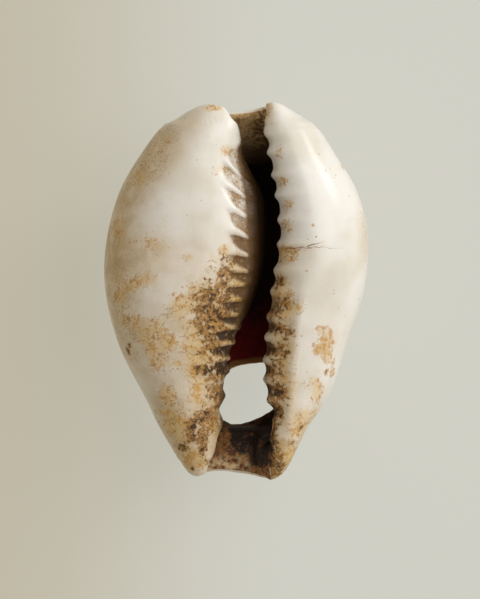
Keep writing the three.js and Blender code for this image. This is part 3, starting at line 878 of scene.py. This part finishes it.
class Recipe:
    """Adds a material's shader nodes and joins them up. A colour can be a name in SHADES."""

    def __init__(self, name):
        self.material = bpy.data.materials.new(name)
        self.material.use_nodes = True
        self.tree = self.material.node_tree
        self.tree.nodes.clear()

    def add(self, kind, inputs=(), **settings):
        node = self.tree.nodes.new(kind)
        for name, value in settings.items():
            setattr(node, name, value)
        for name, value in dict(inputs).items():
            self.put(node.inputs[name], value)
        return node

    def put(self, socket, value):
        value = SHADES[value] if isinstance(value, str) else value
        value = value.socket if isinstance(value, Value) else value
        if isinstance(value, bpy.types.NodeSocket):
            self.tree.links.new(value, socket)
        elif socket.type == "RGBA":
            socket.default_value = (*value, 1)
        else:
            socket.default_value = value

    def mix(self, kind, first_socket, output, below, above, amount):
        node = self.add("ShaderNodeMix", data_type=kind, clamp_factor=True)
        self.put(node.inputs[0], amount)
        self.put(node.inputs[first_socket], below)
        self.put(node.inputs[first_socket + 1], above)
        return node.outputs[output]

    def over(self, below, above, amount):
        """One colour laid over another."""
        return self.mix("RGBA", 6, 2, below, above, amount)

    def blend(self, below, above, amount):
        """A number between two."""
        return Value(self, self.mix("FLOAT", 2, 0, below, above, amount))

    def parts(self, vector):
        """The x and y of a place."""
        split = self.add("ShaderNodeSeparateXYZ", {"Vector": vector}).outputs
        return Value(self, split["X"]), Value(self, split["Y"])

    def finished(self, **inputs):
        """The material, with a surface that has these inputs."""
        inputs = {name.replace("_", " "): value for name, value in inputs.items()}
        surface = self.add("ShaderNodeBsdfPrincipled", inputs)
        self.add("ShaderNodeOutputMaterial", {"Surface": surface.outputs[0]})
        return self.material


class WornEnamel(Recipe):
    """Worn, glossy enamel with soil, ochre stains, an inside painted dark as shade with a painted
    reddish glow, and a broken edge, laid down coat by coat."""

    def __init__(self, finish, shift):
        super().__init__("worn_enamel")
        self.finish = finish
        place = self.add("ShaderNodeTexCoord").outputs["Object"]
        scaled = {"Vector": place, "Scale": (1 / MM,) * 3, "Location": -shift}
        self.at = self.add("ShaderNodeMapping", scaled).outputs["Vector"]
        self.x, self.y = self.parts(self.at)
        self.broad = self.noise(0.22, 2)
        self.cloud = self.noise(0.9, 5, 0.6, 0.1)
        self.curl = self.noise(1.7, 5, 0.55, 0.15)
        self.fine_curl = self.noise(3.6, 3, 0.55, 0.2)
        self.grain = self.noise(9.0, 3, 0.6)
        self.speck = self.noise(6.5, 2)
        self.patchy = self.cloud * 0.6 + self.speck * 0.4
        self.back = self.field("back")
        self.colour = finish.enamel

    def noise(self, scale, detail, roughness=0.5, distortion=0.0):
        inputs = {"Vector": self.at, "Scale": scale, "Detail": detail, "Roughness": roughness}
        node = self.add("ShaderNodeTexNoise", {**inputs, "Distortion": distortion})
        return Value(self, node.outputs["Fac"])

    def field(self, name):
        return Value(self, self.add("ShaderNodeAttribute", attribute_name=name).outputs["Fac"])

    def ramp(self, value, stops):
        node = self.add("ShaderNodeValToRGB", {"Fac": value})
        elements = node.color_ramp.elements
        while len(elements) < len(stops):
            elements.new(1.0)
        for element, (place, shade) in zip(elements, stops):
            element.position = place
            element.color = (*linear(*shade), 1)
        return node.outputs["Color"]

    def coat(self, colour, amount):
        """Lays a colour over all that lies there so far."""
        self.colour = self.over(self.colour, colour, amount)

    def lay_enamel(self):
        """Clean enamel, slightly uneven in tone, and the worn back."""
        self.coat("cream", self.broad.step(0.4, 0.7))
        self.coat("straw", self.cloud.step(0.5, 0.75) * 0.2)
        self.coat(self.finish.dorsum, self.back * self.cloud.step(0.3, 0.6))

    def lay_film(self):
        """Tan film with freckles."""
        film, cloud, speck = self.field("film"), self.cloud, self.speck
        self.film = film * (cloud + speck * 0.35).step(0.35, 0.8)
        self.coat("pale film", film * 0.8)
        self.coat(self.finish.film, self.film * 0.7)
        freckled = film.step(0.2, 0.6) * (self.broad + cloud * 0.6).step(0.72, 0.9)
        self.coat("freckle", (speck + self.curl * 0.3).step(0.7, 0.8) * freckled * 0.5)

    def lay_stains(self):
        """Ochre stains: a pale halo, small patches and winding lines."""
        stain = self.field("ochre")
        self.coat("pale stain", (stain + self.cloud.stray(1.1)).step(0.3, 0.85) * 0.52)
        frayed = stain + self.speck.stray(1.0)
        patches = self.curl.step(0.51, 0.59) * frayed.step(0.36, 0.64)
        self.coat(self.finish.ochre, patches * 0.6)
        winding = self.noise(1.5, 2, 0.5, 0.5).band(0.5, 0.03) * frayed.step(0.34, 0.6)
        self.coat("stain line", winding * 0.75)

    def lay_ring(self):
        """A larger stain with spots and a loose outline."""
        curl, fine_curl = self.curl, self.fine_curl
        ring = self.field("ring") + curl.stray(1.1) + fine_curl.stray(0.7)
        self.coat("ring", ring.step(0.2, 0.8) * self.cloud.step(0.4, 0.6, 0.3, 0.75))
        self.coat("ring spot", fine_curl.step(0.5, 0.6) * ring.step(0.4, 0.7) * 0.6)
        broken_up = (self.grain + curl * 0.5).step(0.66, 0.8)
        self.coat("ring spot", ring.band(0.54, 0.2) * broken_up * 0.55)

    def lay_crust(self):
        """Soil crust: a tan wash, brown patches over it, dark cores, curls and pale chips."""
        soil, fine_curl = self.field("soil"), self.fine_curl
        uneven, finer, gritty = self.curl.stray(1.1), fine_curl.stray(1.0), self.grain.stray(0.28)
        self.coat("tan wash", (soil + uneven).step(0.2, 0.75) * 0.7)
        brown = soil + uneven + (finer + gritty)
        warm = self.over(self.finish.caramel, "warm crust", self.cloud.step(0.5, 0.64, 0.0, 0.7))
        self.crust = brown.step(0.52, 0.68) * 0.85
        self.coat(self.over(warm, "brown crust", fine_curl.step(0.5, 0.62)), self.crust)
        dark = soil + uneven * 0.7 + (finer * 1.2 + gritty)
        self.coat(self.finish.soil, dark.step(0.8, 1.0) * 0.9)
        curls = self.noise(2.1, 3, 0.5, 0.4).band(0.5, 0.035)
        self.coat("crust curl", curls * brown.step(0.35, 0.6) * 0.8)
        bare = self.noise(2.4, 3, 0.5, 0.1).step(0.56, 0.64)
        self.coat("chip", bare * soil.step(0.2, 0.5) * 0.75)

    def fill_gaps(self):
        """Soil in the gaps between the teeth: thin and tan at the posterior end, dark below."""
        y = self.y
        grit = self.ramp((y - GAPS_LOW) / GAPS_LONG, GAP_SHADES)
        grit = self.over(grit, "dark grit", self.grain.step(0.48, 0.6) * 0.6)
        grit = self.over(grit, "pale grit", self.fine_curl.step(0.44, 0.34) * 0.4)
        ragged = self.cloud.stray(0.5) + self.speck.stray(0.35)
        inner = (self.field("inner_groove") + ragged).step(0.12, 0.72)
        thin = self.patchy.step(0.4, 0.6) * 0.6 + 0.3
        self.inner_soil = inner * self.blend(0.95, thin, y.step(3.4, 6.2))
        self.coat(grit, self.inner_soil)
        outer = (self.field("outer_groove") + ragged * 1.6).step(0.45, 1.0)
        self.outer_soil = outer * y.step(1.5, -2.5)
        self.coat("lip soil", self.outer_soil * 0.9)

    def lay_wall(self):
        """The smooth wall that leads in past the inner lip's teeth, painted darker as it goes in:
        a painted shade.
        """
        wall = self.field("wall") + self.fine_curl.stray(0.12)
        grain = self.grain.step(0.5, 0.6) * 0.4
        shade = self.over(self.ramp(wall, WALL_PAINTED_SHADE), "wall grain", grain)
        self.coat(shade, wall.step(0.03, 0.22))

    def draw_crack(self):
        """A hairline crack across the right of the base, with a short branch and a stain."""
        x = self.x
        line = self.y - CRACK_Y + self.noise(1.6, 5, 0.65).stray(0.6)
        branch = line - (x - BRANCH_X) * BRANCH_SLOPE
        main = line.band(0.0, CRACK_HALF) * x.step(7.6, 3.9, 0.0, 0.9)
        side = branch.band(0.0, CRACK_HALF) * (x.step(4.3, 4.6) * x.step(5.9, 5.0))
        shown = (main | side) * x.step(3.0, 3.2) * self.back.step(0.3, 0.1)
        self.crack = shown * self.speck.step(0.36, 0.5, 0.35, 1.0)
        seep = line.band(0.0, SEEP_HALF) * (x.step(2.2, 2.6) * x.step(5.4, 3.4))
        self.coat("seep", seep * 0.45)
        self.coat("crack", self.crack)

    def canal_floor(self):
        """Tan floor of the posterior canal, browner on the right."""
        floor = self.over("canal", "canal patch", self.patchy.step(0.38, 0.62))
        side = self.x.step(0.7, 1.4) * self.fine_curl.step(0.4, 0.56)
        return self.over(floor, "canal side", side * 0.8)

    def low_floor(self):
        """Brown soil on the floor of the anterior canal, dark in its middle and in a streak:
        partly soil and partly painted shade.
        """
        x, y, curl = self.x, self.y, self.curl
        floor = self.over("low floor", "low patch", self.fine_curl.step(0.44, 0.62))
        # The dark middle and streak are partly soil and partly painted shade.
        middle = x.step(-1.0, 0.0) * x.step(3.0, 2.2) * y.step(-11.2, -10.3)
        streak = x.step(0.3, 1.0) * x.step(2.4, 1.7) * y.step(-12.0, -11.2)
        shaded = ((middle | streak) + curl.stray(3.0)).step(0.25, 0.8)
        floor = self.over(floor, "painted low shade", shaded)
        bare = curl.step(0.42, 0.56) * (y.step(-10.6, -11.6) * x.step(1.1, 0.3))
        floor = self.over(floor, "pale floor", bare)
        return self.over(floor, "low speck", self.speck.step(0.56, 0.66) * 0.7)

    def lay_inside(self):
        """The inside: painted dark shade with a painted reddish glow of light through the wall,
        painted shade deeper in the posterior canal and tan on its floor, and brown soil partly
        darkened by painted shade at the anterior one.
        """
        inside, y = self.field("inside"), self.y
        # Where the painted reddish glow of light through the wall shows over the painted dark
        # shade.
        red = (y * -0.4 + self.cloud * 3.0).step(1.2, 3.6)
        shade = self.over("painted inside shade", self.finish.inside, red)
        # Darker deeper in the posterior canal: painted shade.
        shade = self.over(shade, "painted canal shade", y.step(7.8, 9.2))
        shade = self.over(shade, self.canal_floor(), y.step(9.1, 10.7))
        shade = self.over(shade, self.low_floor(), y.step(-6.5, -8.0))
        ragged = (self.curl - 0.5) * y.step(-9.0, -9.8, 0.0, 1.3)
        self.inside = inside.step(0.3, 0.7)
        self.coat(shade, (inside + ragged).step(0.3, 0.7))

    def lay_rim(self):
        """The broken wall round the hole and the soil beside it, paler on the posterior side."""
        posterior = self.y.step(-6.4, -5.4)
        rim = self.over("rim", "dark rim", self.curl.step(0.42, 0.56))
        rim = self.over(rim, "pale rim", posterior)
        self.coat(rim, self.field("rim").step(0.3, 0.8) * 0.8)
        self.broken = self.field("broken")
        edge = self.over("edge", "dark edge", self.curl.step(0.44, 0.56))
        edge = self.over(edge, self.finish.broken, posterior)
        self.coat(edge, self.broken.step(0.3, 0.7))

    def lay_pores(self):
        """Small dark pores, a few of them kept."""
        cells = {"Vector": self.at, "Scale": 1.7, "Randomness": 1.0}
        away = Value(self, self.add("ShaderNodeTexVoronoi", cells).outputs["Distance"])
        self.pore = away.step(0.13, 0.06) * self.noise(0.6, 2).step(0.5, 0.62)
        self.coat("pore", self.pore * 0.7)

    def shell(self):
        """The finished material."""
        for lay in (
            self.lay_enamel, self.lay_film, self.lay_stains, self.lay_ring, self.lay_crust,
            self.fill_gaps, self.lay_wall, self.draw_crack, self.lay_inside, self.lay_rim,
            self.lay_pores,
        ):
            lay()
        dirty = self.crust | self.inner_soil | self.outer_soil | self.inside | self.broken
        rough = self.blend(self.finish.gloss, FILM_ROUGHNESS, self.film)
        rough = self.blend(rough, BACK_ROUGHNESS, self.back * 0.6)
        rough = self.blend(rough, SOIL_ROUGHNESS, dirty)
        relief = self.cloud * 0.35 + self.grain * dirty * 0.5 + self.curl * dirty * 0.8
        relief = relief - self.pore * 0.3 - self.crack * 0.6
        bump = self.add(
            "ShaderNodeBump", {"Height": relief, "Strength": 0.5, "Distance": 0.00009}
        )
        return self.finished(
            Base_Color=self.colour, Roughness=rough, Normal=bump.outputs["Normal"], IOR=1.5,
            Subsurface_Weight=self.finish.depth_of_light, Subsurface_Scale=0.0006,
            Subsurface_Radius=(1.0, 0.7, 0.45),
        )


def pale_floor(studio):
    """A matt floor that glows a little; its glow is painted greyer and dimmer on the left, a
    painted shade.
    """
    recipe = Recipe("pale_floor")
    across, _ = recipe.parts(recipe.add("ShaderNodeTexCoord").outputs["Object"])
    # The glow is painted greyer on the left: painted shade.
    glow = recipe.over("painted floor shade", studio.floor, across.step(-0.017, 0.004))
    return recipe.finished(
        Base_Color="stage", Roughness=0.9, Specular_IOR_Level=0.1, Emission_Color=glow,
        Emission_Strength=studio.floor_glow,
    )


# ---- Operators ----

# Each lamp's place and size, the colour of the light from all round, and the camera: its
# place, the height over the floor at which its field is measured, and its sensor's width.
SIDE_LAMP = (0.42, 0.26, 0.16), 0.2
TOP_LAMP = (0.29, 0.145, 0.48), 0.45
ROOM_COLOUR = (1.0, 0.93, 0.8)
CAMERA_PLACE, FIELD_LEVEL, SENSOR = (0.00026, -0.00048, 0.45), 0.008, 36


class COWRIE_OT_shell(bpy.types.Operator):
    """Rolls one sheet up into the shell's wall, pierces it and gives it its finish"""

    bl_idname = "cowrie.shell"
    bl_label = "Shell"

    def execute(self, context):
        sizes, finish = context.scene.cowrie_sizes, context.scene.cowrie_finish
        points, fields = skin_points(sizes)
        lowest, highest = points.min(axis=(0, 1)), points.max(axis=(0, 1))
        flat_spot = lowest[2] + sizes.worn_depth / MM
        points[..., 2] = np.maximum(points[..., 2], flat_spot)
        shell = self.rolled_up(points, fields)
        self.wear(shell)
        pierce(shell, sizes)

        middle = (lowest + highest) / 2
        shift = np.array([-middle[0], -middle[1], -flat_spot])
        self.fill_new_points(shell.data, fields)
        set_coordinates(shell.data, (coordinates(shell.data) + shift) * MM)
        paint_fields(shell.data, sizes, shift)
        self.fit_frame(shell.data)
        only_selected(shell)
        bpy.ops.object.shade_smooth_by_angle(angle=math.radians(50))
        shell.data.materials.clear()
        shell.data.materials.append(WornEnamel(finish, Vector(shift)).shell())
        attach(shell, "root")
        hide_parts(NODE)
        return {"FINISHED"}

    def rolled_up(self, points, fields):
        """A flat sheet rolled up to a grid of points, its seams welded, with its fields."""
        rows, columns, _ = points.shape
        bpy.ops.object.select_all(action="DESELECT")
        bpy.ops.mesh.primitive_grid_add(
            x_subdivisions=columns - 1, y_subdivisions=rows - 1, size=1, location=(0, 0, 0)
        )
        shell = bpy.context.object
        shell.name = shell.data.name = PIECE
        flat = coordinates(shell.data)
        column = np.rint((flat[:, 0] + 0.5) * (columns - 1)).astype(int)
        row = np.rint((flat[:, 1] + 0.5) * (rows - 1)).astype(int)
        set_coordinates(shell.data, points[row, column])
        for name, values in fields.items():
            set_field(shell.data, name, values[row, column])
        edit_mesh(shell, weld, face_outwards)
        return shell

    def wear(self, shell):
        """Smooths the ends and the lips, and shapes the lobes at both ends."""
        mesh = shell.data
        unworn = coordinates(mesh)
        soften_ends(shell, unworn, ROUNDS_BEFORE)
        set_coordinates(mesh, worn_round(drawn_out(coordinates(mesh))))
        soften_ends(shell, unworn, ROUNDS_AFTER)
        around, outside = get_field(mesh, "around"), get_field(mesh, "outside")
        lips = (around < SECTION_KNOTS[LIP_CREST]) | (around > SECTION_KNOTS[INNER_LIP - 1])
        soften(shell, lips & (outside > -0.2), LIP_ROUNDS)

    def fill_new_points(self, mesh, names):
        """Points that the hole's cut made take their fields from the nearest older point."""
        from_sheet = get_field(mesh, "made") > 0.999  # the cut leaves less on its own points
        points = coordinates(mesh)
        old, new = np.flatnonzero(from_sheet), np.flatnonzero(~from_sheet)
        tree = kdtree.KDTree(len(old))
        for i, index in enumerate(old):
            tree.insert(points[index], i)
        tree.balance()
        nearest = [old[tree.find(points[index])[1]] for index in new]
        for name in names:
            values = get_field(mesh, name)
            values[new] = values[nearest]
            set_field(mesh, name, values)

    def fit_frame(self, mesh):
        """Keeps the shell inside the box of the frame's own shell."""
        points = coordinates(mesh)
        low, high = (np.array(corner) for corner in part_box(NODE))
        size = points.max(axis=0) - points.min(axis=0)
        scale = np.minimum(1, (high - low) / size)
        points = points * scale
        points += np.maximum(low - points.min(axis=0), 0)
        points += np.minimum(high - points.max(axis=0), 0)
        set_coordinates(mesh, points)


class COWRIE_OT_stage(bpy.types.Operator):
    """Adds the pale floor, the soft lamps and the camera"""

    bl_idname = "cowrie.stage"
    bl_label = "Stage"

    def execute(self, context):
        studio = context.scene.cowrie_studio
        bpy.ops.object.select_all(action="DESELECT")
        bpy.ops.mesh.primitive_plane_add(size=1.2, location=(0, 0, 0))
        floor = context.object
        floor.name = "floor"
        floor.data.materials.append(pale_floor(studio))

        self.lamp("side_lamp", studio.side_light, *SIDE_LAMP)
        self.lamp("top_lamp", studio.top_light, *TOP_LAMP)

        world = bpy.data.worlds.new("room")
        world.use_nodes = True
        background = world.node_tree.nodes["Background"]
        background.inputs["Color"].default_value = (*ROOM_COLOUR, 1)
        background.inputs["Strength"].default_value = studio.room_light
        context.scene.world = world

        camera = bpy.data.cameras.new("camera")
        camera.sensor_width = SENSOR
        camera.lens = SENSOR * (CAMERA_PLACE[2] - FIELD_LEVEL) / studio.field
        camera.clip_start, camera.clip_end = 0.01, 10
        view = bpy.data.objects.new("camera", camera)
        view.location = CAMERA_PLACE
        context.scene.collection.objects.link(view)
        context.scene.camera = view
        context.scene.view_settings.view_transform = "Standard"
        return {"FINISHED"}

    def lamp(self, name, power, place, size):
        """Adds a square soft lamp that faces the shell."""
        place = Vector(place)
        light = bpy.data.lights.new(name, "AREA")
        light.energy = power
        light.size = size
        lamp = bpy.data.objects.new(name, light)
        lamp.location = place
        lamp.rotation_euler = place.to_track_quat("Z", "Y").to_euler()
        bpy.context.scene.collection.objects.link(lamp)


class COWRIE_PT_panel(bpy.types.Panel):
    """Lists the shell and its stage"""

    bl_idname = "COWRIE_PT_panel"
    bl_label = "Cowrie"
    bl_space_type = "VIEW_3D"
    bl_region_type = "UI"
    bl_category = "Cowrie"

    def draw(self, context):
        for operator, group in (
            (COWRIE_OT_shell, context.scene.cowrie_sizes),
            (None, context.scene.cowrie_finish),
            (COWRIE_OT_stage, context.scene.cowrie_studio),
        ):
            if operator:
                self.layout.operator(operator.bl_idname)
            for name in group.__annotations__:
                self.layout.prop(group, name)


CLASSES = (
    CowrieSizes, CowrieFinish, CowrieStudio, COWRIE_OT_shell, COWRIE_OT_stage, COWRIE_PT_panel,
)
GROUPS = {
    "cowrie_sizes": CowrieSizes, "cowrie_finish": CowrieFinish, "cowrie_studio": CowrieStudio,
}


def register():
    for cls in CLASSES:
        bpy.utils.register_class(cls)
    for name, group in GROUPS.items():
        setattr(bpy.types.Scene, name, PointerProperty(type=group))


def unregister():
    for name in GROUPS:
        delattr(bpy.types.Scene, name)
    for cls in reversed(CLASSES):
        bpy.utils.unregister_class(cls)


def main():
    register()
    bpy.ops.cowrie.shell()
    bpy.ops.cowrie.stage()
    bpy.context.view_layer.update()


if __name__ == "__main__":
    main()
